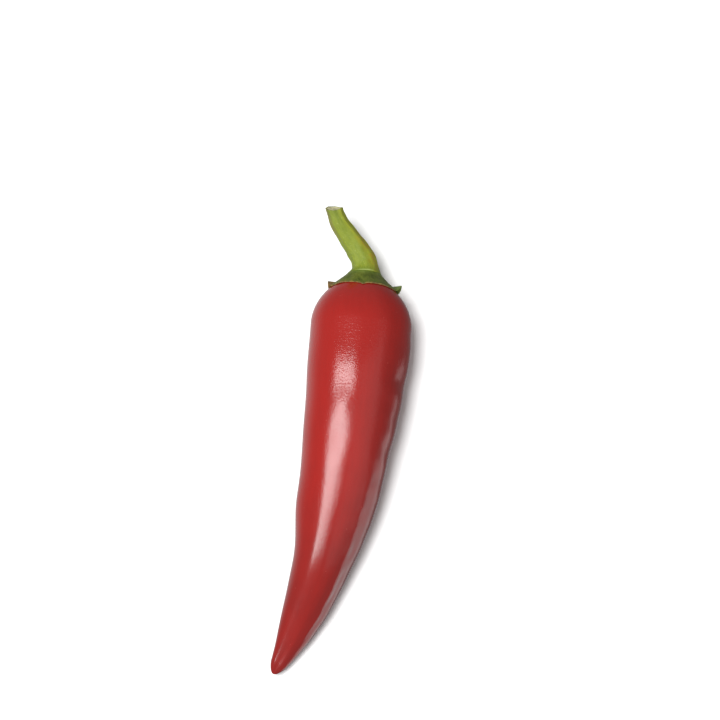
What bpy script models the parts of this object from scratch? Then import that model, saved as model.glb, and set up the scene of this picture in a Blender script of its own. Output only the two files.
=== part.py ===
"""A red chilli pepper as picked, lying on its side: pod, calyx and stem.

Metres, +Z up. The surface it lies on is z = 0 and +Y runs along the fruit towards
the stem. The origin is on that surface, under the middle of the whole fruit.
"""

import math

import bmesh
import bpy
from mathutils import Vector

# Driving dimensions of the pod
POD_LENGTH = 0.1052  # from crown to tip, measured straight
POD_WIDTH = 0.0266  # across the shoulder, as it lies
POD_HEIGHT = 0.0242  # the pod is a little flatter than it is wide
CROWN_DEPTH = 0.0132  # from the crown down to the widest section
CROWN_POWER = 1.85  # 2 is an elliptical shoulder, more is squarer
TAPER_START = 0.10  # share of the length before the pod starts to narrow
TAPER_POWER = 1.9
TIP_SHARE = 0.13  # width left at the tip, before its end is rounded
NOSE_DEPTH = 0.0030  # length of the rounded end

# The pod's axis leaves the crown at one slope, bends, and reaches the tip at another
CROWN_SLOPE = 0.14
TIP_SLOPE = -0.33
BEND_POWER = 2.3

# How the pod lies
REST_SINK = 0.0002  # depth of soft skin pressed flat on the surface
TIP_LIFT = 0.0016  # the tip curls up off the surface by this much
LIFT_POWER = 5

# Driving dimensions of the calyx
CALYX_DEPTH = 0.0026  # how far its rim reaches down the shoulder, from the crown
TOOTH_COUNT = 5
TOOTH_DEPTH = 0.0013  # how much further its teeth reach
TOOTH_SHARPNESS = 3
RIM_THICKNESS = 0.0005
CAP_SWELL = 0.0006  # how much thicker the cap is beside the collar
FLARE_POWER = 1.5
COLLAR_SHARE = 0.5  # where the collar starts, on the way to the rim
COLLAR_HEIGHT = 0.0012  # from the crown to the flat that carries the stem
COLLAR_LEDGE = 0.00025  # how far that flat stands out round the stem

# Driving dimensions of the stem
STEM_DIAMETER = 0.0071  # where it leaves the calyx
STEM_END_DIAMETER = 0.0042  # at the cut
STEM_REACH = 0.0136  # from collar to cut, along the fruit
STEM_SWAY = -0.0119  # from collar to cut, across the fruit
STEM_RISE = 0.0056  # from collar to cut, upwards
STEM_BASE_HANDLE = 0.0062
STEM_END_HANDLE = 0.0070
STEM_END_HEADING = math.radians(33)  # turned from +Y towards -X
STEM_END_PITCH = math.radians(21)

CLEARANCE = 0.0003  # between neighbouring pieces

# Looks: linear colour and roughness
POD_RED = ((0.39, 0.022, 0.018), 0.25)
CALYX_GREEN = ((0.11, 0.16, 0.04), 0.55)
STEM_GREEN = ((0.31, 0.36, 0.06), 0.5)

# Mesh density
POD_SIDES = 36
CALYX_SIDES = 40
CROWN_RINGS = 9
BODY_RINGS = 26
NOSE_RINGS = 5
CALYX_RINGS = 5
STEM_SEGMENTS = 12
STEM_BEVEL_RESOLUTION = 6

UP = Vector((0, 0, 1))
PROBE = 1e-5  # step along the axis, for slopes and normals
TURN = 1e-3  # step round the axis, for normals


def clear_scene():
    for obj in list(bpy.data.objects):
        bpy.data.objects.remove(obj, do_unlink=True)


def make_material(name, colour, roughness):
    material = bpy.data.materials.new(name)
    material.use_nodes = True
    shader = material.node_tree.nodes["Principled BSDF"]
    shader.inputs["Base Color"].default_value = (*colour, 1)
    shader.inputs["Roughness"].default_value = roughness
    shader.inputs["Metallic"].default_value = 0
    return material


# The pod's shape, by the depth t below the crown


def taper(t):
    """Share of the full width, without the rounding of shoulder and tip."""
    start = TAPER_START * POD_LENGTH
    run = max(0, t - start) / (POD_LENGTH - start)
    return 1 - (1 - TIP_SHARE) * run**TAPER_POWER


def rounding(t):
    """Closes the pod over the shoulder and round the tip."""
    above = max(0, 1 - t / CROWN_DEPTH)
    below = max(0, 1 - (POD_LENGTH - t) / NOSE_DEPTH)
    shoulder = max(0, 1 - above**CROWN_POWER) ** (1 / CROWN_POWER)
    nose = math.sqrt(max(0, 1 - below**2))
    return shoulder * nose


def axis_point(t):
    """The pod's axis: it bows sideways and keeps the underside on the surface."""
    share = t / POD_LENGTH
    swing = (CROWN_SLOPE - TIP_SLOPE) / (BEND_POWER + 1)
    bow = POD_LENGTH * (CROWN_SLOPE * share - swing * share ** (BEND_POWER + 1))
    lift = TIP_LIFT * share**LIFT_POWER
    height = POD_HEIGHT / 2 * taper(t) - REST_SINK + lift
    return Vector((bow, -t, height))


def axis_side(t):
    """Level direction across the pod, square to its axis."""
    near = max(0, min(t, POD_LENGTH - PROBE))
    along = axis_point(near + PROBE) - axis_point(near)
    return along.cross(UP).normalized() * -1


def pod_point(t, angle):
    """A point of the skin, at an angle round the axis from its side."""
    size = taper(t) * rounding(t)
    side = axis_side(t) * (POD_WIDTH / 2 * size * math.cos(angle))
    rise = UP * (POD_HEIGHT / 2 * size * math.sin(angle))
    point = axis_point(t) + side + rise
    point.z = max(point.z, 0)
    return point


def pod_normal(t, angle):
    """Outward direction of the skin, well above the surface it lies on."""
    here = pod_point(t + PROBE, angle)
    down = here - pod_point(t, angle)
    around = pod_point(t + PROBE, angle + TURN) - here
    return around.cross(down).normalized()


# Ring by ring modelling


def angles(sides):
    return [2 * math.pi * i / sides for i in range(sides)]


def next_ring(bm, ring, points):
    """Extrudes the ring's edges and moves the new ring to these points."""
    edges = [bm.edges.get((a, b)) for a, b in zip(ring, ring[1:] + ring[:1])]
    made = bmesh.ops.extrude_edge_only(bm, edges=edges)["geom"]
    fresh = {v for v in made if isinstance(v, bmesh.types.BMVert)}
    found = []
    for vert in ring:
        ends = [edge.other_vert(vert) for edge in vert.link_edges]
        found.append(next(end for end in ends if end in fresh))
    for vert, point in zip(found, points):
        vert.co = point
    return found


def loft(name, first_pole, sections, last_pole):
    """A closed body through these rings of points, drawn to a pole at each end."""
    sides = len(sections[0])
    bm = bmesh.new()
    first = bmesh.ops.create_circle(bm, segments=sides, radius=CLEARANCE)["verts"]
    ring = first
    for points in sections:
        ring = next_ring(bm, ring, points)
    last = next_ring(bm, ring, [last_pole] * sides)
    bmesh.ops.pointmerge(bm, verts=first, merge_co=first_pole)
    bmesh.ops.pointmerge(bm, verts=last, merge_co=last_pole)
    bmesh.ops.recalc_face_normals(bm, faces=bm.faces)
    mesh = bpy.data.meshes.new(name)
    bm.to_mesh(mesh)
    bm.free()
    mesh.shade_smooth()
    return bpy.data.objects.new(name, mesh)


def build_pod():
    """The fruit itself, one solid from crown to tip."""
    depths = []
    for i in range(1, CROWN_RINGS + 1):
        depths.append(CROWN_DEPTH * (1 - math.cos(math.pi / 2 * i / CROWN_RINGS)))
    body = POD_LENGTH - NOSE_DEPTH - CROWN_DEPTH
    for i in range(1, BODY_RINGS + 1):
        depths.append(CROWN_DEPTH + body * i / BODY_RINGS)
    for i in range(1, NOSE_RINGS):
        turn = math.pi / 2 * i / NOSE_RINGS
        depths.append(POD_LENGTH - NOSE_DEPTH * (1 - math.sin(turn)))
    sections = [[pod_point(t, a) for a in angles(POD_SIDES)] for t in depths]
    pod = loft("pod", axis_point(0), sections, axis_point(POD_LENGTH))
    pod.data.materials.append(make_material("pod_red", *POD_RED))
    return pod


def rim_depth(angle):
    """Depth of the calyx's rim, with a pointed tooth at even steps."""
    wave = 0.5 + 0.5 * math.cos(TOOTH_COUNT * (angle - math.pi / 2))
    return CALYX_DEPTH + TOOTH_DEPTH * wave**TOOTH_SHARPNESS


def calyx_point(share, angle, height):
    """A point over the crown, at this height, and this share of the way to the rim."""
    t = rim_depth(angle) * share**2
    return pod_point(t, angle) + pod_normal(t, angle) * height


def crown_direction():
    """The direction in which the crown faces."""
    return (axis_point(0) - axis_point(PROBE)).normalized()


def collar_ring():
    """The round edge of the flat that carries the stem."""
    centre = axis_point(0) + crown_direction() * COLLAR_HEIGHT
    radius = STEM_DIAMETER / 2 + COLLAR_LEDGE
    ring = []
    for a in angles(CALYX_SIDES):
        outward = axis_side(0) * math.cos(a) + UP * math.sin(a)
        ring.append(centre + outward * radius)
    return ring


def build_calyx():
    """The green cap on the shoulder, with teeth at its rim and a flat collar."""
    around = angles(CALYX_SIDES)
    sections = []
    for i in range(1, CALYX_RINGS + 1):
        share = i / CALYX_RINGS
        sections.append([calyx_point(share, a, CLEARANCE) for a in around])
    for i in range(CALYX_RINGS):
        inward = i / (CALYX_RINGS - 1)
        share = 1 - (1 - COLLAR_SHARE) * inward
        height = CLEARANCE + RIM_THICKNESS + CAP_SWELL * inward**FLARE_POWER
        sections.append([calyx_point(share, a, height) for a in around])
    sections.append(collar_ring())
    under = axis_point(0) + crown_direction() * CLEARANCE
    top = axis_point(0) + crown_direction() * COLLAR_HEIGHT
    calyx = loft("calyx", under, sections, top)
    calyx.data.materials.append(make_material("calyx_green", *CALYX_GREEN))
    return calyx


def build_stem():
    """A tapered stalk that sways to one side and rises to its cut end."""
    base = axis_point(0) + crown_direction() * (COLLAR_HEIGHT + CLEARANCE)
    end = base + Vector((STEM_SWAY, STEM_REACH, STEM_RISE))
    level = Vector((-math.sin(STEM_END_HEADING), math.cos(STEM_END_HEADING), 0))
    leaving = level * math.cos(STEM_END_PITCH) + UP * math.sin(STEM_END_PITCH)
    curve = bpy.data.curves.new("stem", "CURVE")
    curve.dimensions = "3D"
    curve.resolution_u = STEM_SEGMENTS
    curve.bevel_depth = STEM_DIAMETER / 2
    curve.bevel_resolution = STEM_BEVEL_RESOLUTION
    curve.use_fill_caps = True
    spline = curve.splines.new("BEZIER")
    spline.bezier_points.add(1)
    handles = (crown_direction() * STEM_BASE_HANDLE, leaving * STEM_END_HANDLE)
    ends = zip(spline.bezier_points, (base, end), handles, (STEM_DIAMETER, STEM_END_DIAMETER))
    for point, place, handle, diameter in ends:
        point.co = place
        point.handle_left = place - handle
        point.handle_right = place + handle
        point.radius = diameter / STEM_DIAMETER
    stem = bpy.data.objects.new("stem", curve)
    curve.materials.append(make_material("stem_green", *STEM_GREEN))
    return stem


def centre_over_origin(objects):
    """Moves the pieces together, so that the whole fruit lies round the origin."""
    graph = bpy.context.evaluated_depsgraph_get()
    points = []
    for obj in objects:
        evaluated = obj.evaluated_get(graph)
        points += [v.co.copy() for v in evaluated.to_mesh().vertices]
        evaluated.to_mesh_clear()
    middle = Vector((0, 0, 0))
    for axis in (0, 1):
        reach = [p[axis] for p in points]
        middle[axis] = (min(reach) + max(reach)) / 2
    for obj in objects:
        obj.location = -middle


def main():
    clear_scene()
    collection = bpy.data.collections.new("chilli_pepper")
    bpy.context.scene.collection.children.link(collection)
    pieces = [build_pod(), build_calyx(), build_stem()]
    for piece in pieces:
        collection.objects.link(piece)
    bpy.context.view_layer.update()
    centre_over_origin(pieces)


main()
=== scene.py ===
"""A red chilli pepper lying on its side, as picked: glossy pod, toothed calyx and ridged stalk.

Metres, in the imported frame: +Y runs along the fruit towards the stalk and z = 0 is the
surface that it lies on. The pod's own places are given as a depth below its crown and an
angle round its axis, where 0 is the +X side and a quarter turn is the top.
"""

import functools
import math

import bmesh
import bpy
from bpy.props import FloatProperty, FloatVectorProperty, PointerProperty
from mathutils import Matrix, Vector, noise


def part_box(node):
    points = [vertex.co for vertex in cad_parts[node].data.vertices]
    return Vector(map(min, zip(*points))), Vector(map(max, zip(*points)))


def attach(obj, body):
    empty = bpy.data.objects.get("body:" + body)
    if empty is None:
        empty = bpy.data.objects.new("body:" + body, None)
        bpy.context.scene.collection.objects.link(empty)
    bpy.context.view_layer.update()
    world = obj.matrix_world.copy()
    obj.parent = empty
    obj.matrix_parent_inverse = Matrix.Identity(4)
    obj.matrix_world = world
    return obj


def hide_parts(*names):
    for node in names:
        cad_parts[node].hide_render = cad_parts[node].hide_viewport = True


bl_info = {
    "name": "Chilli Pepper",
    "version": (1, 0, 0),
    "blender": (4, 5, 0),
    "location": "3D View > Sidebar > Chilli",
    "description": "Builds a red chilli pepper with its calyx, stalk and a plain stage",
    "category": "Add Mesh",
}

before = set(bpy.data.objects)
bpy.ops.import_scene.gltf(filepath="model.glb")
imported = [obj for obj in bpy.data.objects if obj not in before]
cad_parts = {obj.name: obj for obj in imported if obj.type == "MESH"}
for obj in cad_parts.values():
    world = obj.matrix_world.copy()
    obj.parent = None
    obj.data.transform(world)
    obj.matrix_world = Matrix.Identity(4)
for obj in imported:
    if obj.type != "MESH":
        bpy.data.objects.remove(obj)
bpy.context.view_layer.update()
POD_LOW, POD_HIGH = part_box("pod")

MM = 0.001
UP = Vector((0, 0, 1))

# The pod, as its frame has it
POD_LENGTH = 0.1052
CROWN_DEPTH = 0.0132
CROWN_POWER = 1.85
TAPER_START = 0.10
TAPER_POWER = 1.9
TIP_SHARE = 0.13
NOSE_DEPTH = 0.0030
CROWN_SLOPE = 0.14
TIP_SLOPE = -0.33
BEND_POWER = 2.3
REST_SINK = 0.0002
TIP_LIFT = 0.0016
LIFT_POWER = 5

# The stalk's path
COLLAR_HEIGHT = 0.0015
STEM_START = 0.0009
STEM_REACH = 0.0136
STEM_SWAY = -0.0114
STEM_RISE = 0.0056
STEM_BASE_HANDLE = 0.0062
STEM_END_HANDLE = 0.0070
STEM_END_HEADING = math.radians(23)
STEM_END_PITCH = math.radians(21)

# Mesh density
SKIN_SIDES = 230
SKIN_RINGS = 340
CALYX_STEPS = 200
STEM_SIDES = 120
STEM_CUTS = 150

PROBE = 1e-5


class PodSettings(bpy.types.PropertyGroup):
    """Sizes and colours of the pod."""

    width: FloatProperty(
        name="Width", description="Across the shoulder", default=0.0266, unit="LENGTH"
    )
    height: FloatProperty(
        name="Height", description="As it lies", default=0.0242, unit="LENGTH"
    )
    relief: FloatProperty(
        name="Relief", description="Strength of its swells and dents", default=1.0, min=0, max=2,
        subtype="FACTOR",
    )
    red: FloatVectorProperty(
        name="Skin", description="Ripe skin", default=(0.34, 0.0105, 0.0068), subtype="COLOR"
    )
    # The deep red is also the colour of the painted shade on the pod's side and tip
    deep_red_and_shade: FloatVectorProperty(
        name="Deep skin", description="Darker patches", default=(0.215, 0.0083, 0.006),
        subtype="COLOR",
    )
    gloss: FloatProperty(
        name="Roughness", description="Of the waxy skin", default=0.16, min=0, max=1,
        subtype="FACTOR",
    )


class CalyxSettings(bpy.types.PropertyGroup):
    """Sizes and colours of the calyx."""

    teeth: FloatProperty(
        name="Teeth", description="How far the teeth reach and curl", default=1.0, min=0, max=2,
        subtype="FACTOR",
    )
    green: FloatVectorProperty(
        name="Green", description="Cap", default=(0.145, 0.175, 0.022), subtype="COLOR"
    )
    dark: FloatVectorProperty(
        name="Dark green", description="Hollows", default=(0.085, 0.115, 0.013), subtype="COLOR"
    )
    light: FloatVectorProperty(
        name="Light green", description="By the stalk", default=(0.17, 0.24, 0.05), subtype="COLOR"
    )
    rim: FloatVectorProperty(
        name="Rim", description="Dry edge", default=(0.30, 0.19, 0.06), subtype="COLOR"
    )


class StemSettings(bpy.types.PropertyGroup):
    """Sizes and colours of the stalk."""

    base_diameter: FloatProperty(
        name="Base", description="Thickness at the calyx", default=0.0071, unit="LENGTH"
    )
    end_diameter: FloatProperty(
        name="End", description="Thickness at the cut", default=0.0042, unit="LENGTH"
    )
    green: FloatVectorProperty(
        name="Green", description="Fresh skin", default=(0.245, 0.30, 0.027), subtype="COLOR"
    )
    dark: FloatVectorProperty(
        name="Dark green", description="Shaded furrows", default=(0.175, 0.235, 0.018),
        subtype="COLOR",
    )


class StageSettings(bpy.types.PropertyGroup):
    """The floor, lights and camera."""

    floor: FloatVectorProperty(
        name="Floor", description="Pale floor", default=(0.9, 0.9, 0.9), subtype="COLOR"
    )
    key: FloatProperty(
        name="Key", description="Radiance of the soft box overhead", default=11.5, min=0,
        subtype="UNSIGNED",
    )
    fill: FloatProperty(
        name="Fill", description="Radiance of the weak box beside it", default=0.5, min=0,
        subtype="UNSIGNED",
    )
    floor_light: FloatProperty(
        name="Floor light", description="Radiance of the box that only lights the floor",
        default=24, min=0, subtype="UNSIGNED",
    )
    card: FloatProperty(
        name="Card", description="Radiance of the low card beyond its tip", default=1.55,
        min=0, subtype="UNSIGNED",
    )
    room: FloatProperty(
        name="Room", description="Brightness all round", default=0.38, min=0,
        subtype="UNSIGNED",
    )
    glow: FloatProperty(
        name="Glow", description="Brightness from low on its left", default=0.78, min=0,
        subtype="UNSIGNED",
    )


# Shader expressions


class Socket:
    """An output socket that takes part in Python sums, products and mixes."""

    def __init__(self, tree, output):
        self.tree = tree
        self.output = output

    def math(self, operation, *values, clamp=False):
        node = self.tree.nodes.new("ShaderNodeMath")
        node.operation = operation
        node.use_clamp = clamp
        for slot, value in zip(node.inputs, (self, *values)):
            plug(self.tree, slot, value)
        return Socket(self.tree, node.outputs[0])

    def __add__(self, other):
        return self.math("ADD", other)

    __radd__ = __add__

    def __mul__(self, other):
        return self.math("MULTIPLY", other)

    __rmul__ = __mul__

    def __sub__(self, other):
        return self.math("SUBTRACT", other)

    def __rsub__(self, other):
        return (self * -1) + other

    def clamped(self):
        return self.math("ADD", 0, clamp=True)

    def ramp(self, low, high):
        """0 at low and 1 at high, smooth between them."""
        node = self.tree.nodes.new("ShaderNodeMapRange")
        node.interpolation_type = "SMOOTHSTEP"
        for slot, value in zip(node.inputs[:5], (self, low, high, 0, 1)):
            plug(self.tree, slot, value)
        return Socket(self.tree, node.outputs[0])


def plug(tree, slot, value):
    """Links a socket, or sets a plain value."""
    if isinstance(value, Socket):
        tree.links.new(value.output, slot)
    elif slot.type == "RGBA" and len(value) == 3:
        slot.default_value = (*value, 1)
    else:
        slot.default_value = value


class Graph:
    """A node tree and the nodes that are added to it."""

    def __init__(self, tree):
        self.tree = tree

    def node(self, kind, settings=None, output=0, **values):
        """Any node: its settings are set first, then its sockets by name."""
        made = self.tree.nodes.new("ShaderNode" + kind)
        for key, value in (settings or {}).items():
            setattr(made, key, value)
        for key, value in values.items():
            plug(self.tree, made.inputs[key], value)
        return Socket(self.tree, made.outputs[output])

    def attribute(self, name, output="Fac"):
        return self.node("Attribute", {"attribute_name": name}, output)

    def object_place(self):
        return self.node("TexCoord", output="Object")

    def part(self, vector, axis):
        """One component of a vector."""
        return self.node("SeparateXYZ", output="XYZ".index(axis), Vector=vector)

    def dot(self, vector, other):
        """How far a vector reaches along another."""
        node = self.tree.nodes.new("ShaderNodeVectorMath")
        node.operation = "DOT_PRODUCT"
        plug(self.tree, node.inputs[0], vector)
        plug(self.tree, node.inputs[1], other)
        return Socket(self.tree, node.outputs["Value"])

    def stretched(self, place, scale):
        """The place, scaled along each axis."""
        return self.node("Mapping", Vector=place, Scale=scale)

    def noise(self, place, scale, detail=2.0, roughness=0.5, distortion=0.0):
        return self.node(
            "TexNoise", Vector=place, Scale=scale, Detail=detail,
            Roughness=roughness, Distortion=distortion,
        )

    def mix(self, amount, first, second):
        """Blends two colours."""
        node = self.tree.nodes.new("ShaderNodeMix")
        node.data_type = "RGBA"
        plug(self.tree, node.inputs[0], amount)
        plug(self.tree, node.inputs[6], first)
        plug(self.tree, node.inputs[7], second)
        return Socket(self.tree, node.outputs[2])

    def bump(self, height, distance, strength=1.0):
        return self.node("Bump", Height=height, Distance=distance, Strength=strength)


class Finish(Graph):
    """One material."""

    def __init__(self, name):
        self.material = bpy.data.materials.new(name)
        self.material.use_nodes = True
        super().__init__(self.material.node_tree)
        self.shader = self.tree.nodes["Principled BSDF"]

    def set(self, **values):
        for key, value in values.items():
            plug(self.tree, self.shader.inputs[key.replace("_", " ")], value)

    def give_to(self, piece):
        piece.data.materials.clear()
        piece.data.materials.append(self.material)


# The pod's shape


def taper(t):
    """Width of the pod at this depth, as a share of its shoulder's."""
    start = TAPER_START * POD_LENGTH
    run = max(0, t - start) / (POD_LENGTH - start)
    return 1 - (1 - TIP_SHARE) * run**TAPER_POWER


def rounding(t):
    """How the crown and the nose round off: 0 at both ends of the pod."""
    above = max(0, 1 - t / CROWN_DEPTH)
    below = max(0, 1 - (POD_LENGTH - t) / NOSE_DEPTH)
    shoulder = max(0, 1 - above**CROWN_POWER) ** (1 / CROWN_POWER)
    nose = math.sqrt(max(0, 1 - below**2))
    return shoulder * nose


def axis_point(t, height):
    """The pod's bent middle line, from its crown."""
    share = t / POD_LENGTH
    swing = (CROWN_SLOPE - TIP_SLOPE) / (BEND_POWER + 1)
    bow = POD_LENGTH * (CROWN_SLOPE * share - swing * share ** (BEND_POWER + 1))
    lift = TIP_LIFT * share**LIFT_POWER
    return Vector((bow, -t, height / 2 * taper(t) - REST_SINK + lift))


def axis_side(t, height):
    """Level direction across the middle line."""
    near = max(0, min(t, POD_LENGTH - PROBE))
    along = axis_point(near + PROBE, height) - axis_point(near, height)
    return along.cross(UP).normalized() * -1


def plain_point(t, angle, width, height, swell=0.0):
    """A point of the plain pod about its crown, moved outwards by the swell."""
    size = taper(t) * rounding(t)
    across = axis_side(t, height) * math.cos(angle)
    outward = across + UP * math.sin(angle)
    round_part = across * (width / 2 * size) + UP * (height / 2 * size * math.sin(angle))
    point = axis_point(t, height) + round_part + outward * swell
    point.z = max(point.z, 0)
    return point


@functools.cache
def crown_place(width, height):
    """Where the crown is, so that the plain pod fills the CAD pod's box."""
    reach = [
        plain_point(POD_LENGTH * i / 400, math.radians(a), width, height)
        for i in range(401)
        for a in range(0, 360, 15)
    ]
    low = Vector(min(p[i] for p in reach) for i in range(3))
    high = Vector(max(p[i] for p in reach) for i in range(3))
    place = (POD_LOW + POD_HIGH) / 2 - (low + high) / 2
    place.z = 0
    return place


# Swells of the pod: depth and half-length in mm, angle and half-spread in degrees, height in mm
SWELLS = (
    (20.0, -5, 8.0, 38, 0.45),
    (16.0, 182, 9.0, 40, -0.35),
    (27.5, 20, 2.4, 26, -0.30),
    (45.0, 5, 9.0, 38, -0.45),
    (62.0, 182, 6.0, 45, 0.45),
    (60.0, 4, 6.0, 36, 0.30),
    (74.0, 182, 5.5, 40, -0.35),
    (32.0, 176, 7.0, 45, -0.25),
    (92.0, 180, 8.0, 50, 0.45),
    (91.0, 0, 8.0, 50, 0.50),
    (24.0, 95, 6.5, 45, 0.30),
    (76.5, 97, 9.0, 50, 0.50),
    (101.0, 92, 13.0, 70, -1.15),
    (29.5, 100, 3.5, 14, -0.08),
    (35.5, 101, 3.5, 9, 0.20),
    (50.0, 112, 5.0, 20, 0.14),
    (44.0, 70, 6.0, 20, 0.10),
    (62.0, 104, 12.0, 11, 0.15),
    (66.0, 66, 8.0, 20, -0.12),
    (84.0, 100, 8.0, 30, -0.10),
    (58.0, 30, 9.0, 14, -0.10),
)
BROAD_SCALE = 70.0
BROAD_HEIGHT = 0.22
FINE_SCALE = 190.0
FINE_HEIGHT = 0.06
RIPPLE_HEIGHT = 0.10
SWELL_EDGE = 8  # past this a swell is too weak to count
PATTERN_RADIUS = 0.012  # the rough patterns are read on a tube this wide
PATTERN_STRETCH = 0.55
FINE_OFFSET = Vector((3, 1, 2))
RIPPLE_ANGLE = 22
RIPPLE_SPREAD = 34
RIPPLE_AROUND = 1.4
RIPPLE_ALONG = 4.5
CROWN_CALM = 0.006  # the skin is smooth at the crown and swells in full from here

# The crease line down the low side of the pod
CREASE_START = 47.0
CREASE_END = 98.0
CREASE_ANGLES = (50.0, 42.0)
CREASE_HEIGHT = 0.11
CREASE_SPREAD = 6.0
CREASE_WANDER = 5


def angle_gap(a, b):
    """How far one angle is past another, within half a turn."""
    return (a - b + math.pi) % (2 * math.pi) - math.pi


def fade(value, low, high):
    """0 at low and 1 at high, smooth between them."""
    share = max(0, min(1, (value - low) / (high - low)))
    return share * share * (3 - 2 * share)


def crease(depth, turn):
    """A thin wavy ridge with a groove on its lower side."""
    share = (depth - CREASE_START) / (CREASE_END - CREASE_START)
    if not 0 < share < 1:
        return 0.0
    middle = CREASE_ANGLES[0] + (CREASE_ANGLES[1] - CREASE_ANGLES[0]) * share
    middle += CREASE_WANDER * noise.noise(Vector((depth / 5, 7, 2)))
    off = (turn - middle) / CREASE_SPREAD
    strength = fade(share, 0, 0.12) * fade(share, 1, 0.8)
    strength *= 1 + noise.noise(Vector((depth / 4, 1, 9)))
    ridge = math.exp(-(off**2)) - 0.8 * math.exp(-(((off + 2.2) / 1.4) ** 2))
    return CREASE_HEIGHT * ridge * strength


def relief(t, angle):
    """How far the skin swells out of the plain pod, in metres."""
    total = 0.0
    depth = t / MM
    turn = math.degrees(angle_gap(angle, math.radians(90))) + 90
    for middle, bearing, length, spread, height in SWELLS:
        along = (depth - middle) / length
        around = ((turn - bearing + 180) % 360 - 180) / spread
        reach = along**2 + around**2
        if reach < SWELL_EDGE:
            total += height * math.exp(-reach)
    cosine, sine = math.cos(angle), math.sin(angle)
    place = Vector((cosine * PATTERN_RADIUS, sine * PATTERN_RADIUS, t * PATTERN_STRETCH))
    rough = BROAD_HEIGHT * noise.noise(place * BROAD_SCALE)
    rough += FINE_HEIGHT * noise.noise(place * FINE_SCALE + FINE_OFFSET)
    total += rough * taper(t)
    flank = math.exp(-(((turn - RIPPLE_ANGLE) / RIPPLE_SPREAD) ** 2))
    where = Vector((cosine * RIPPLE_AROUND, sine * RIPPLE_AROUND, depth / RIPPLE_ALONG))
    ripple = noise.noise(where)
    total += RIPPLE_HEIGHT * 2 * flank * ripple + crease(depth, turn)
    nose = max(0, 1 - (POD_LENGTH - t) / NOSE_DEPTH)
    return total * MM * min(1, t / CROWN_CALM) * math.sqrt(max(0, 1 - nose**2))


def new_piece(name, bm):
    """An object made from the shape, with its faces outward."""
    if bm.calc_volume(signed=True) < 0:
        bmesh.ops.reverse_faces(bm, faces=bm.faces)
    mesh = bpy.data.meshes.new(name)
    bm.to_mesh(mesh)
    bm.free()
    if not mesh.polygons:
        raise RuntimeError(f"{name} came out empty")
    mesh.shade_smooth()
    piece = bpy.data.objects.new(name, mesh)
    bpy.context.scene.collection.objects.link(piece)
    return piece


def build_pod_skin(pod):
    """A fine sphere drawn out into the pod."""
    bm = bmesh.new()
    bmesh.ops.create_uvsphere(bm, u_segments=SKIN_SIDES, v_segments=SKIN_RINGS, radius=1)
    unrolled = bm.verts.layers.float_vector.new("unrolled")
    facing = bm.verts.layers.float.new("facing")
    crown = crown_place(pod.width, pod.height)
    for vert in bm.verts:
        share = (1 - max(-1, min(1, vert.co.z))) / 2
        t = POD_LENGTH * share
        angle = math.atan2(vert.co.y, vert.co.x)
        size = taper(t) * rounding(t) * pod.width / 2
        vert[unrolled] = Vector((math.cos(angle) * size, math.sin(angle) * size, t))
        # How far the skin faces the upper left, where the light comes from: the finish paints
        # shade from it
        vert[facing] = math.sin(angle) - math.cos(angle)
        swell = relief(t, angle) * pod.relief
        vert.co = crown + plain_point(t, angle, pod.width, pod.height, swell)
    bmesh.ops.recalc_face_normals(bm, faces=bm.faces)
    return new_piece("pod_skin", bm)


SPECK_RED = (0.6, 0.12, 0.09)
SKIN_BUMP = 0.00005


def skin_finish(pod):
    """Waxy red skin with random deeper patches and streaks, painted shade on the side turned away
    from the light and towards the tip, and fine wrinkles that break up its shine.
    """
    made = Finish("waxy_red_skin")
    place = made.attribute("unrolled", "Vector")
    down = made.part(place, "Z")
    # Painted shade: the side turned away from the light, away from the crown, goes to the deep red
    side = made.attribute("facing").ramp(0.85, 0.0) * down.ramp(0.006, 0.028)
    patches = made.noise(place, 130, 3.0).ramp(0.35, 0.7)
    streaks = made.noise(made.stretched(place, (1, 1, 0.12)), 900, 2.0).ramp(0.35, 0.75)
    # The deep tone is painted shade on that side and towards the tip, plus random patches and
    # streaks
    deep_tone_and_shade = side * 0.52 + down.ramp(0.045, 0.085) * 0.7 + patches * 0.16 + streaks * 0.14 - 0.1
    specks = made.noise(place, 1300, 1.0).ramp(0.76, 0.80) * 0.3
    colour = made.mix(deep_tone_and_shade.clamped(), pod.red[:], pod.deep_red_and_shade[:])
    colour = made.mix(specks, colour, SPECK_RED)
    wrinkle = made.noise(made.stretched(place, (1, 1, 1.8)), 1000, 3.0, 0.6, 0.3)
    pebble = made.noise(place, 2300, 2.0, 0.6)
    height = (wrinkle * 0.8 + pebble * 0.6) * (1 - down.ramp(0.062, 0.085) * 0.9)
    made.set(
        Base_Color=colour,
        Roughness=pod.gloss + made.noise(place, 300, 2.0) * 0.08,
        Normal=made.bump(height, SKIN_BUMP),
    )
    return made


# The calyx, modelled flat and then wrapped over the crown

# Its teeth: angle, half-spread of the tooth and of its foot in degrees, then in mm how much
# deeper the foot and the tip reach, and how far the tip stands off the skin
TEETH = (
    (91, 6, 9, 0.25, 0.35, 0.05),
    (8, 17, 27, 0.95, -0.70, 2.00),
    (168, 13, 24, 1.05, -0.75, 1.40),
    (236, 16, 24, 0.70, 0.20, 0.90),
    (304, 18, 24, 0.70, 0.25, 0.80),
)
RIM_DEPTH = 3.20
DRY_TOOTH = 168
FRESH_TOOTH = 8
SHOULDER_SHARE = 0.50
SHOULDER_HEIGHT = 1.50
BELL_REACH = 0.155
RIM_THICKNESS = 0.24
PIT = (97, 0.80, 0.055, 0.30)  # angle, share to the rim, spread as a share, depth in mm
TOOTH_POWER = 1.25
CURL_START = 0.86  # the teeth leave the skin from this share of the way to the rim
CURL_POWER = 1.2
UNDERSIDE_GAP = 0.06
TURN = 1e-3  # a small step round the axis
DRY_BROWN = (0.16, 0.10, 0.04)
CALYX_BUMP = 0.00025


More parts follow.
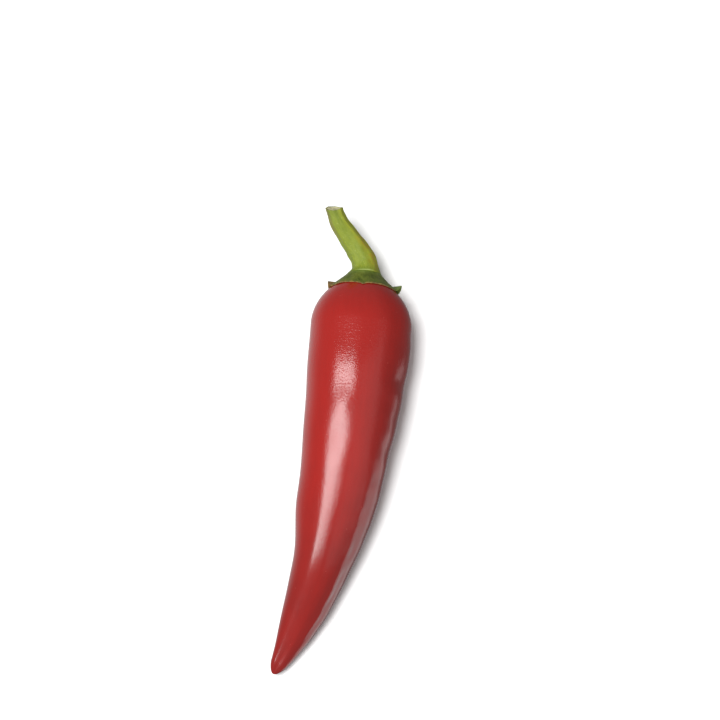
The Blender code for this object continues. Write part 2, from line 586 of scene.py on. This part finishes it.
def tooth_shape(angle, bearing, spread):
    """A pointed tooth: 1 at its tip."""
    off = abs(math.degrees(angle_gap(angle, math.radians(bearing)))) / spread
    return max(0, 1 - off) ** TOOTH_POWER


def rim_depth(angle, teeth):
    """How far down the crown the rim reaches, in metres."""
    waver = noise.noise(Vector((math.cos(angle) * 4, math.sin(angle) * 4, 0)))
    depth = RIM_DEPTH + 0.12 * waver
    for bearing, spread, foot, foot_depth, tip_depth, _ in TEETH:
        off = math.degrees(angle_gap(angle, math.radians(bearing))) / foot
        depth += foot_depth * math.exp(-(off**2))
        depth += tip_depth * tooth_shape(angle, bearing, spread) * teeth
    return depth * MM


def lift(angle, share, teeth):
    """How far the teeth stand off the skin, in mm."""
    total = 0.0
    for bearing, spread, _, _, _, height in TEETH:
        total += height * tooth_shape(angle, bearing, spread)
    return total * teeth * max(0, (share - CURL_START) / 0.14) ** CURL_POWER


def cap_height(share, angle):
    """Height of the calyx's outer face over the skin, in mm: a bell that runs up to the stalk."""
    bell = SHOULDER_HEIGHT * math.exp(-(share - SHOULDER_SHARE) / BELL_REACH)
    rib = 0.05 * math.cos(5 * angle + 0.6) + 0.035 * math.cos(13 * angle)
    rib += 0.10 * noise.noise(Vector((math.cos(angle) * 5, math.sin(angle) * 5, share * 2)))
    bearing, middle, reach, depth = PIT
    aside = angle_gap(angle, math.radians(bearing)) * share
    pit = depth * math.exp(-((aside / reach) ** 2 + ((share - middle) / reach) ** 2))
    return RIM_THICKNESS + bell + rib * min(1, (share - SHOULDER_SHARE) * 4) - pit


def wrap(share, angle, height, pod, teeth):
    """A point at this height over the crown, this share of the way to the rim."""
    t = rim_depth(angle, teeth) * share**2
    swell = relief(t, angle) * pod.relief
    here = plain_point(t + PROBE, angle, pod.width, pod.height)
    base = plain_point(t, angle, pod.width, pod.height)
    around = plain_point(t + PROBE, angle + TURN, pod.width, pod.height) - here
    normal = around.cross(here - base).normalized()
    axis = (axis_point(0, pod.height) - axis_point(PROBE, pod.height)).normalized()
    outward = axis.lerp(normal, fade(share, 0.5, 0.9)).normalized()
    return base + normal * swell + outward * height


def build_calyx(calyx, pod):
    """Profile as (share, part of the thickness): the underside, the rim, then the outer face."""
    under = [(0.05 + 0.95 * i / 26, 0.0) for i in range(27)]
    rim = [(1.008, 0.2), (1.014, 0.5), (1.008, 0.8)]
    outer = [(1 - (1 - SHOULDER_SHARE) * i / 34, 1.0) for i in range(35)]
    top = [(0.485, 0.99), (0.465, 0.95), (0.43, 0.9), (0.05, 0.88)]
    bm = bmesh.new()
    verts = [bm.verts.new((share, 0, part)) for share, part in under + rim + outer + top]
    edges = [bm.edges.new(pair) for pair in zip(verts, verts[1:])]
    bmesh.ops.spin(
        bm, geom=verts + edges, cent=(0, 0, 0), axis=(0, 0, 1), angle=2 * math.pi,
        steps=CALYX_STEPS, use_merge=True,
    )
    bmesh.ops.holes_fill(bm, edges=[e for e in bm.edges if e.is_boundary])
    crown = crown_place(pod.width, pod.height)
    rolled = bm.verts.layers.float_vector.new("rolled")
    for vert in bm.verts:
        share = math.hypot(vert.co.x, vert.co.y)
        part = vert.co.z
        angle = math.atan2(vert.co.y, vert.co.x)
        fresh, dry = (tooth_shape(angle, tooth, 20) for tooth in (FRESH_TOOTH, DRY_TOOTH))
        vert[rolled] = Vector((share, fresh, dry))
        outer_height = cap_height(max(share, SHOULDER_SHARE), angle)
        height = UNDERSIDE_GAP + (outer_height - UNDERSIDE_GAP) * part
        height += lift(angle, share, calyx.teeth)
        vert.co = crown + wrap(share, angle, height * MM, pod, calyx.teeth)
    bmesh.ops.recalc_face_normals(bm, faces=bm.faces)
    return new_piece("calyx_cap", bm)


def calyx_finish(calyx):
    """Dark green with pale veins, a dry tan edge and one dried-out tooth."""
    made = Finish("calyx_green")
    place = made.object_place()
    rolled = made.attribute("rolled", "Vector")
    share, fresh, dry = (made.part(rolled, axis) for axis in "XYZ")
    tone = made.noise(place, 420, 4.0, 0.6).ramp(0.35, 0.68)
    green = made.mix(tone, calyx.green[:], calyx.dark[:])
    green = made.mix(share.ramp(0.62, 0.50) * 0.45, green, calyx.light[:])
    green = made.mix((fresh * share.ramp(0.75, 0.95)).ramp(0.1, 0.4), green, calyx.light[:])
    edge = (share + made.noise(place, 900, 2.0) * 0.03).ramp(0.975, 1.01)
    edge = edge * (1 - fresh.ramp(0, 0.2))
    dried = made.noise(place, 1500, 3.0).ramp(0.4, 0.6)
    brown = made.mix(dried, calyx.rim[:], DRY_BROWN)
    browned = edge * 0.85 + (dry * share.ramp(0.8, 0.95)).ramp(0.2, 0.6)
    colour = made.mix(browned.clamped(), green, brown)
    made.set(
        Base_Color=colour,
        Roughness=made.noise(place, 400) * 0.2 + 0.45,
        Specular_IOR_Level=0.3,
        Normal=made.bump(made.noise(place, 1400, 4.0, 0.6), CALYX_BUMP),
    )
    return made


# The stalk

BASE_FLARE = 0.00055
END_FLARE = 0.00015
RIDGE_HEIGHT = 0.00010
LUMP_HEIGHT = 0.00022
CUT_INSETS = (0.05, 0.05, 0.08, 0.1, 0.16, 0.2, 0.2)
CUT_START = 0.9  # the slant, lip and dish of the cut end fade in from here
LIP_ANGLE = 35
PALE_GREEN = (0.34, 0.40, 0.08)
DOT_GREEN = (0.42, 0.50, 0.14)
END_GREEN = (0.14, 0.19, 0.03)
# Warm tint that also serves as painted light on the stalk's shaded side
WARM_LIT_GREEN = (0.46, 0.48, 0.03)
RUST = (0.46, 0.27, 0.02)
TAN = (0.25, 0.19, 0.06)
FOOT_GREEN = (0.13, 0.19, 0.02)
# Painted highlight on the ring where the stalk meets the calyx
RING_HIGHLIGHT_GREEN = (0.45, 0.55, 0.20)
CUT_CREAM = (0.72, 0.68, 0.40)
STALK_BUMP = 0.00018


def stem_path(crown, pod):
    """The stalk's middle line, as a function of the share of its length."""
    base_axis = (axis_point(0, pod.height) - axis_point(PROBE, pod.height)).normalized()
    base = crown + axis_point(0, pod.height) + base_axis * STEM_START
    end = base + Vector((STEM_SWAY, STEM_REACH, STEM_RISE))
    end = end + base_axis * (COLLAR_HEIGHT - STEM_START)
    level = Vector((-math.sin(STEM_END_HEADING), math.cos(STEM_END_HEADING), 0))
    leaving = level * math.cos(STEM_END_PITCH) + UP * math.sin(STEM_END_PITCH)
    first = base + base_axis * STEM_BASE_HANDLE
    second = end - leaving * STEM_END_HANDLE

    def point(s):
        r = 1 - s
        return base * r**3 + first * (3 * s * r * r) + second * (3 * s * s * r) + end * s**3

    return point


def stem_radius(s, angle, stem):
    """Thickness along the stalk, with its ridges and the flare into the calyx."""
    plain = stem.base_diameter / 2 * (1 - s) + stem.end_diameter / 2 * s
    foot = BASE_FLARE * math.exp(-((s / 0.075) ** 2))
    flare = foot + END_FLARE * math.exp(-(((1 - s) / 0.06) ** 2))
    ridge = math.cos(5 * angle + 1.6 * s) + 0.5 * math.cos(8 * angle + 1 - 2 * s)
    lump = noise.noise(Vector((math.cos(angle), math.sin(angle), s * 7)))
    ridges = ridge * RIDGE_HEIGHT * min(1, s * 6 + 0.15)
    return plain + flare + ridges + lump * LUMP_HEIGHT


def build_stem(stem, pod):
    """A fine cylinder bent along the stalk's path, with a dished cut end."""
    bm = bmesh.new()
    bmesh.ops.create_cone(
        bm, cap_ends=True, segments=STEM_SIDES, radius1=1, radius2=1, depth=1
    )
    long_edges = [e for e in bm.edges if abs(e.verts[0].co.z - e.verts[1].co.z) > 0.5]
    bmesh.ops.subdivide_edges(bm, edges=long_edges, cuts=STEM_CUTS, use_grid_fill=True)
    caps = [f for f in bm.faces if len(f.verts) > 4 and f.calc_center_median().z > 0.4]
    for thickness in CUT_INSETS:
        bmesh.ops.inset_region(bm, faces=caps, thickness=thickness)
    point = stem_path(crown_place(pod.width, pod.height), pod)
    rolled = bm.verts.layers.float_vector.new("rolled")
    inside = bm.verts.layers.float.new("inside")
    for vert in bm.verts:
        s = vert.co.z + 0.5
        angle = math.atan2(vert.co.y, vert.co.x)
        share = math.hypot(vert.co.x, vert.co.y)
        near = max(0, min(s, 1 - 1e-3))
        tangent = (point(near + 1e-3) - point(near)).normalized()
        side = tangent.cross(UP).normalized()
        top = side.cross(tangent).normalized()
        radius = stem_radius(s, angle, stem) * share
        vert[rolled] = Vector((math.cos(angle), math.sin(angle), s))
        vert[inside] = 1 - share if s > 0.999 else 0.0
        place = point(s) + (side * math.cos(angle) + top * math.sin(angle)) * radius
        if s > CUT_START:
            ragged = noise.noise(Vector((math.cos(angle), math.sin(angle), share)) * 2.5)
            slant = (-0.36 * math.cos(angle) - 0.30 * math.sin(angle)) * share
            aside = angle_gap(angle, math.radians(LIP_ANGLE)) / 0.45
            lip = 0.40 * math.exp(-(aside**2)) * share**6
            dish = -0.45 * (1 - share**4)
            shift = 0.18 * ragged + slant + lip + dish - 0.25
            place += tangent * shift * MM * (s - CUT_START) / 0.1
        vert.co = place
    bmesh.ops.recalc_face_normals(bm, faces=bm.faces)
    return new_piece("stem_stalk", bm)


def stem_finish(stem):
    """Fresh green with lengthwise streaks, a warm rusty side that is also lightened as painted
    light, a painted highlight on the ring at its foot, and a pale cut end.
    """
    made = Finish("stalk_green")
    place = made.object_place()
    rolled = made.attribute("rolled", "Vector")
    across, up, along = (made.part(rolled, axis) for axis in "XYZ")
    streak = made.noise(made.stretched(rolled, (1, 1, 1.6)), 4.0, 4.0, 0.6).ramp(0.35, 0.75)
    green = made.mix(streak, stem.green[:], stem.dark[:])
    pale = made.noise(made.stretched(rolled, (1, 1, 3.0)), 5, 3.0).ramp(0.55, 0.8)
    green = made.mix(pale * 0.3, green, PALE_GREEN)
    specks = made.noise(place, 2600, 1.0).ramp(0.66, 0.72)
    green = made.mix(specks * 0.4, green, DOT_GREEN)
    green = made.mix(along.ramp(0.80, 1.0) * 0.4, green, END_GREEN)
    # Warm tint on the +X side, which also lifts that shaded side as painted light
    warm_lit_side = across.ramp(0.1, 0.8)
    green = made.mix(warm_lit_side * 0.65, green, WARM_LIT_GREEN)
    rust = warm_lit_side * along.ramp(0.72, 0.45)
    rust = rust * made.noise(place, 700, 3.0).ramp(0.42, 0.62)
    green = made.mix(rust * 0.6, green, RUST)
    tan = across.ramp(-0.6, -1.0) * along.ramp(0.55, 0.8)
    green = made.mix(tan * 0.5, green, TAN)
    green = made.mix(along.ramp(0.10, 0.03) * 0.5, green, FOOT_GREEN)
    # Painted highlight: a pale arc on the top of the ledge where the stalk meets the calyx
    ring_highlight = along.ramp(0.002, 0.008) * along.ramp(0.024, 0.016) * up.ramp(0.8, 0.98)
    green = made.mix(ring_highlight * 0.6, green, RING_HIGHLIGHT_GREEN)
    cut = made.attribute("inside").ramp(0.03, 0.12)
    furrows = made.noise(made.stretched(rolled, (1, 1, 1.5)), 16, 4.0, 0.6)
    made.set(
        Base_Color=made.mix(cut, green, CUT_CREAM),
        Roughness=0.42 + made.noise(place, 900) * 0.15,
        Specular_IOR_Level=0.3,
        Normal=made.bump(furrows, STALK_BUMP),
    )
    return made


class CHILLI_OT_pod(bpy.types.Operator):
    """Make the glossy red pod"""

    bl_idname = "chilli.pod"
    bl_label = "Pod"

    def execute(self, context):
        pod = context.scene.chilli_pod
        piece = build_pod_skin(pod)
        skin_finish(pod).give_to(piece)
        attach(piece, "root")
        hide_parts("pod")
        return {"FINISHED"}


class CHILLI_OT_calyx(bpy.types.Operator):
    """Make the green calyx with its teeth"""

    bl_idname = "chilli.calyx"
    bl_label = "Calyx"

    def execute(self, context):
        calyx = context.scene.chilli_calyx
        piece = build_calyx(calyx, context.scene.chilli_pod)
        calyx_finish(calyx).give_to(piece)
        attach(piece, "root")
        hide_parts("calyx")
        return {"FINISHED"}


class CHILLI_OT_stem(bpy.types.Operator):
    """Make the ridged stalk with its cut end"""

    bl_idname = "chilli.stem"
    bl_label = "Stalk"

    def execute(self, context):
        stem = context.scene.chilli_stem
        piece = build_stem(stem, context.scene.chilli_pod)
        stem_finish(stem).give_to(piece)
        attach(piece, "root")
        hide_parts("stem")
        return {"FINISHED"}


# Stage

VIEW_AZIMUTH = math.radians(12.83)
VIEW_ELEVATION = math.radians(80)
VIEW_DISTANCE = 0.442
VIEW_AIM = Vector((0.0022, 0.0225, 0.012))
LENS = 85.0

FLOOR_RADIUS = 3
FLOOR_ROUGHNESS = 0.9
DARK_SHARE = 0.35

# Soft boxes: where they stand as seen by the camera (right, up, towards it), and half of
# their width and of their depth in degrees
LIGHT_DISTANCE = 0.9
LIGHT_AIM = Vector((0, 0, 0.02))
KEY_BOX = ((-0.456, -0.004, 1), 22, 11)
FILL_BOX = ((0.70, -0.18, 1), 24, 20)
CARD_BOX = ((0.75, -0.63, -0.27), 26, 26)
FLOOR_BOX = ((-0.24, 0.18, 1), 10, 14)

# Where the room is brighter and where it is darker
GLOW_SIDE = Vector((-0.55, 0, -0.835))
DARK_SIDE = Vector((0.74, 0.50, -0.45))


def direction(azimuth, elevation):
    """Unit vector towards a place seen from the object."""
    level = Vector((math.sin(azimuth), -math.cos(azimuth), 0)) * math.cos(elevation)
    return level + UP * math.sin(elevation)


def add_camera():
    """The camera, looking down on the pod."""
    data = bpy.data.cameras.new("camera")
    data.lens = LENS
    data.clip_start = 0.01
    camera = bpy.data.objects.new("camera", data)
    back = direction(VIEW_AZIMUTH, VIEW_ELEVATION)
    camera.location = VIEW_AIM + back * VIEW_DISTANCE
    camera.rotation_euler = (-back).to_track_quat("-Z", "Y").to_euler()
    bpy.context.scene.collection.objects.link(camera)
    bpy.context.scene.camera = camera
    return camera


def add_box_light(name, camera, place, half_across, half_along, radiance):
    """A soft box facing the pod."""
    turn = camera.rotation_euler.to_matrix()
    towards = (turn @ Vector(place)).normalized()
    side = (turn.col[0] - towards * turn.col[0].dot(towards)).normalized()
    width = 2 * LIGHT_DISTANCE * math.tan(math.radians(half_across))
    depth = 2 * LIGHT_DISTANCE * math.tan(math.radians(half_along))
    data = bpy.data.lights.new(name, "AREA")
    data.shape = "RECTANGLE"
    data.size = width
    data.size_y = depth
    data.energy = radiance * math.pi * width * depth
    light = bpy.data.objects.new(name, data)
    light.location = LIGHT_AIM + towards * LIGHT_DISTANCE
    axes = Matrix((side, towards.cross(side), towards)).transposed()
    light.rotation_euler = axes.to_euler()
    bpy.context.scene.collection.objects.link(light)
    return light


class CHILLI_OT_stage(bpy.types.Operator):
    """Make the floor, lights and camera"""

    bl_idname = "chilli.stage"
    bl_label = "Stage"

    def execute(self, context):
        stage = context.scene.chilli_stage
        bm = bmesh.new()
        bmesh.ops.create_circle(bm, cap_ends=True, segments=64, radius=FLOOR_RADIUS)
        floor = new_piece("floor", bm)
        made = Finish("pale_floor")
        made.set(Base_Color=stage.floor[:], Roughness=FLOOR_ROUGHNESS)
        made.give_to(floor)
        floor.visible_glossy = False
        floor.visible_diffuse = False
        floor.visible_shadow = False
        camera = add_camera()
        floor_only = bpy.data.collections.new("floor_only")
        floor_only.objects.link(floor)
        all_but_floor = bpy.data.collections.new("all_but_floor")
        all_but_floor.objects.link(floor)
        all_but_floor.collection_objects[0].light_linking.link_state = "EXCLUDE"
        lights = (
            ("key", KEY_BOX, stage.key, all_but_floor),
            ("fill", FILL_BOX, stage.fill, all_but_floor),
            ("card", CARD_BOX, stage.card, all_but_floor),
            ("floor_light", FLOOR_BOX, stage.floor_light, floor_only),
        )
        for name, box, radiance, receivers in lights:
            light = add_box_light(name, camera, *box, radiance)
            light.light_linking.receiver_collection = receivers
            light.visible_diffuse = name != "card"
        world = bpy.data.worlds.new("studio")
        world.use_nodes = True
        sky = Graph(world.node_tree)
        seen = sky.node("TexCoord", output="Generated")
        glow = sky.dot(seen, GLOW_SIDE).ramp(0.55, 0.98) * (stage.glow - stage.room)
        dark = sky.dot(seen, DARK_SIDE).ramp(0.35, 0.85) * DARK_SHARE
        brightness = (glow + stage.room) * (1 - dark)
        background = world.node_tree.nodes["Background"]
        plug(sky.tree, background.inputs["Color"], brightness)
        context.scene.world = world
        context.scene.view_settings.view_transform = "Standard"
        return {"FINISHED"}


class CHILLI_PT_panel(bpy.types.Panel):
    """Lists the pieces and their settings"""

    bl_idname = "CHILLI_PT_panel"
    bl_label = "Chilli pepper"
    bl_space_type = "VIEW_3D"
    bl_region_type = "UI"
    bl_category = "Chilli"

    def draw(self, context):
        for name in ("pod", "calyx", "stem", "stage"):
            box = self.layout.box()
            settings = getattr(context.scene, "chilli_" + name)
            for key in settings.bl_rna.properties.keys():
                if key not in ("rna_type", "name"):
                    box.prop(settings, key)
            box.operator("chilli." + name)


SETTINGS = {
    "chilli_pod": PodSettings,
    "chilli_calyx": CalyxSettings,
    "chilli_stem": StemSettings,
    "chilli_stage": StageSettings,
}
CLASSES = (
    *SETTINGS.values(),
    CHILLI_OT_pod,
    CHILLI_OT_calyx,
    CHILLI_OT_stem,
    CHILLI_OT_stage,
    CHILLI_PT_panel,
)


def register():
    for cls in CLASSES:
        bpy.utils.register_class(cls)
    for name, cls in SETTINGS.items():
        setattr(bpy.types.Scene, name, PointerProperty(type=cls))


def unregister():
    for name in SETTINGS:
        delattr(bpy.types.Scene, name)
    for cls in reversed(CLASSES):
        bpy.utils.unregister_class(cls)


def main():
    register()
    bpy.ops.chilli.stage()
    bpy.ops.chilli.pod()
    bpy.ops.chilli.calyx()
    bpy.ops.chilli.stem()


if __name__ == "__main__":
    main()
